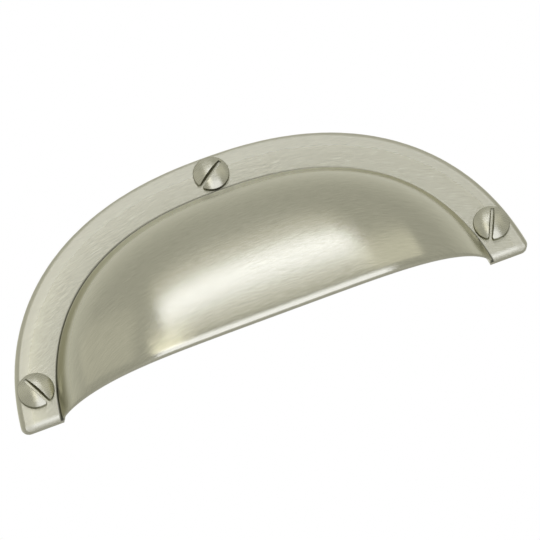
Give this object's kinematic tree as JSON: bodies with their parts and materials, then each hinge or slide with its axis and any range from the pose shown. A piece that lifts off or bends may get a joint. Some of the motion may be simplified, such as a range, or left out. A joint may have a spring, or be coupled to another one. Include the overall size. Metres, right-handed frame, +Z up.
{
  "type": "cabinet cup pull handle",
  "caption": "Cast half-oval cup pull for a drawer or cupboard: a hooded finger cup, open below, on a flange with dummy screw heads.",
  "frame": {"origin": "on the flat back of the flange, straight behind the crown's dummy screw head and on the plane that halves the pull", "axes": "+X along the pull, +Y out of its back into the drawer front, +Z up, with the finger cup open towards -Z"},
  "size_m": [0.0992, 0.0176, 0.0385],
  "materials": {
    "satin_nickel": "brushed satin nickel plate on a zinc alloy casting, warm grey, with fine brush lines"
  },
  "bodies": {
    "root": {"cup_pull": "satin_nickel"}
  },
  "joints": []
}
